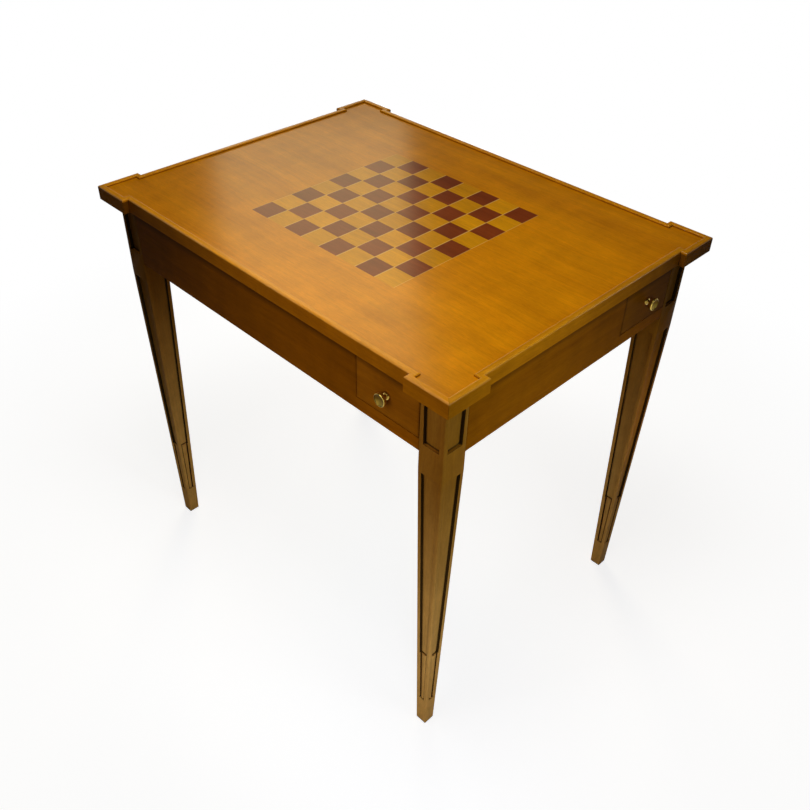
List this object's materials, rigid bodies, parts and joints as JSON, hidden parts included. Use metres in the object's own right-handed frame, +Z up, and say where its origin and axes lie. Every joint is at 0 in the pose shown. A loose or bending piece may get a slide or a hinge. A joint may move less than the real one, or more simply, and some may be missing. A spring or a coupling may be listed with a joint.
{
  "type": "games table",
  "caption": "Rectangular wooden games table with a stepped lipped top, inlaid chequered board, tapered fluted legs and a small corner drawer in every side.",
  "frame": {"origin": "on the floor, under the middle of the table", "axes": "+Z up, +X along the long sides, +Y along the short sides; the front drawer opens towards -Y"},
  "size_m": [0.79, 0.6, 0.747],
  "materials": {
    "field_wood": "gloss varnish over honey-coloured veneer, grain along the length",
    "edging_wood": "gloss varnish on solid edging",
    "dark_inlay": "gloss varnish over dark red-brown veneer",
    "light_inlay": "gloss varnish over pale golden veneer",
    "leg_wood": "satin varnish with darkened recesses",
    "apron_wood": "satin varnish",
    "drawer_front_wood": "satin varnish",
    "inside_wood": "plain unvarnished wood",
    "knob_brass": "turned and polished, lightly tarnished",
    "screw_steel": "plain bright steel"
  },
  "bodies": {
    "table": {"apron_back": "apron_wood", "apron_front": "apron_wood", "apron_left": "apron_wood", "apron_right": "apron_wood", "board_dark_squares": "dark_inlay", "board_light_squares": "light_inlay", "button_screws": "screw_steel", "drawer_runners_back": "inside_wood", "drawer_runners_front": "inside_wood", "drawer_runners_left": "inside_wood", "drawer_runners_right": "inside_wood", "drawer_stops": "inside_wood", "edging_back": "edging_wood", "edging_corner_back_left": "edging_wood", "edging_corner_back_right": "edging_wood", "edging_corner_front_left": "edging_wood", "edging_corner_front_right": "edging_wood", "edging_front": "edging_wood", "edging_left": "edging_wood", "edging_right": "edging_wood", "leg_back_left": "leg_wood", "leg_back_right": "leg_wood", "leg_front_left": "leg_wood", "leg_front_right": "leg_wood", "top_buttons": "inside_wood", "top_panel": "field_wood"},
    "front_drawer": {"front_drawer_front": "drawer_front_wood", "front_drawer_sides": "inside_wood", "front_drawer_back": "inside_wood", "front_drawer_bottom": "inside_wood", "front_drawer_knob": "knob_brass", "front_drawer_knob_screw": "screw_steel"},
    "right_drawer": {"right_drawer_front": "drawer_front_wood", "right_drawer_sides": "inside_wood", "right_drawer_back": "inside_wood", "right_drawer_bottom": "inside_wood", "right_drawer_knob": "knob_brass", "right_drawer_knob_screw": "screw_steel"},
    "back_drawer": {"back_drawer_front": "drawer_front_wood", "back_drawer_sides": "inside_wood", "back_drawer_back": "inside_wood", "back_drawer_bottom": "inside_wood", "back_drawer_knob": "knob_brass", "back_drawer_knob_screw": "screw_steel"},
    "left_drawer": {"left_drawer_front": "drawer_front_wood", "left_drawer_sides": "inside_wood", "left_drawer_back": "inside_wood", "left_drawer_bottom": "inside_wood", "left_drawer_knob": "knob_brass", "left_drawer_knob_screw": "screw_steel"}
  },
  "joints": [
    {"name": "front_drawer_slide", "type": "slide", "parent": "table", "child": "front_drawer", "axis": [0, -1, 0], "range_m": [0, 0.18]},
    {"name": "right_drawer_slide", "type": "slide", "parent": "table", "child": "right_drawer", "axis": [1, 0, 0], "range_m": [0, 0.18]},
    {"name": "back_drawer_slide", "type": "slide", "parent": "table", "child": "back_drawer", "axis": [0, 1, 0], "range_m": [0, 0.18]},
    {"name": "left_drawer_slide", "type": "slide", "parent": "table", "child": "left_drawer", "axis": [-1, 0, 0], "range_m": [0, 0.18]}
  ]
}
